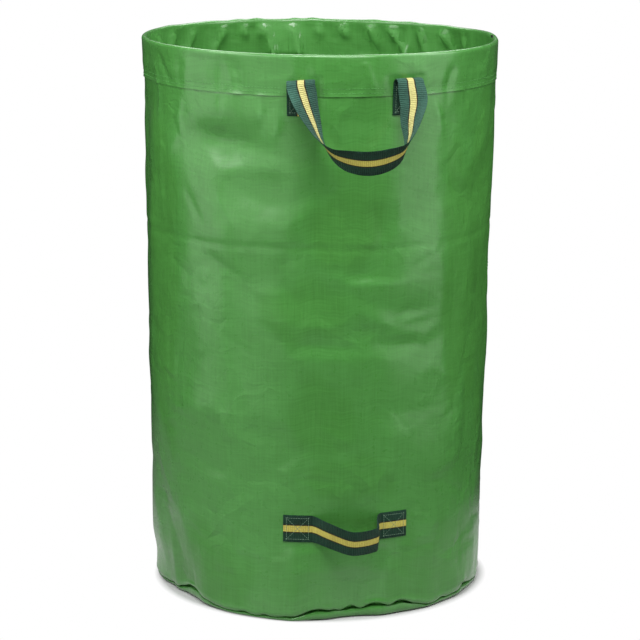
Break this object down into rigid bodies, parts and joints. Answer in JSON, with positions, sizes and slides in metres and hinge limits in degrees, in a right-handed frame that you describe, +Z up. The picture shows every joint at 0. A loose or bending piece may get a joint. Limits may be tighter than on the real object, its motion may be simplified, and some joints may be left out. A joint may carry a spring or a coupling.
{
  "type": "garden waste bag",
  "caption": "Tall round bag of green coated woven fabric, its mouth held open by a hoop in the hem, with striped webbing lift handles and a tipping handle low on the front.",
  "frame": {"origin": "on the bag's axis at the floor, the middle of the box round the whole part", "axes": "+Z up along the bag's axis, -Y towards the front with the tipping handle, +X to the right as seen from the front"},
  "size_m": [0.46, 0.5834, 0.7226],
  "materials": {
    "wall_fabric": "satin coated woven polyethylene",
    "base_fabric": "satin coated woven polyethylene",
    "hoop_rod": "black extruded rod",
    "joiner_pin": "plain moulded plastic",
    "webbing": "ribbed polypropylene webbing, dark green with a yellow stripe down the middle"
  },
  "bodies": {
    "root": {"bag_wall": "wall_fabric", "base_panel": "base_fabric", "rim_hoop": "hoop_rod", "hoop_joiner": "joiner_pin", "front_lift_handle": "webbing", "rear_lift_handle": "webbing", "tipping_handle": "webbing"}
  },
  "joints": []
}
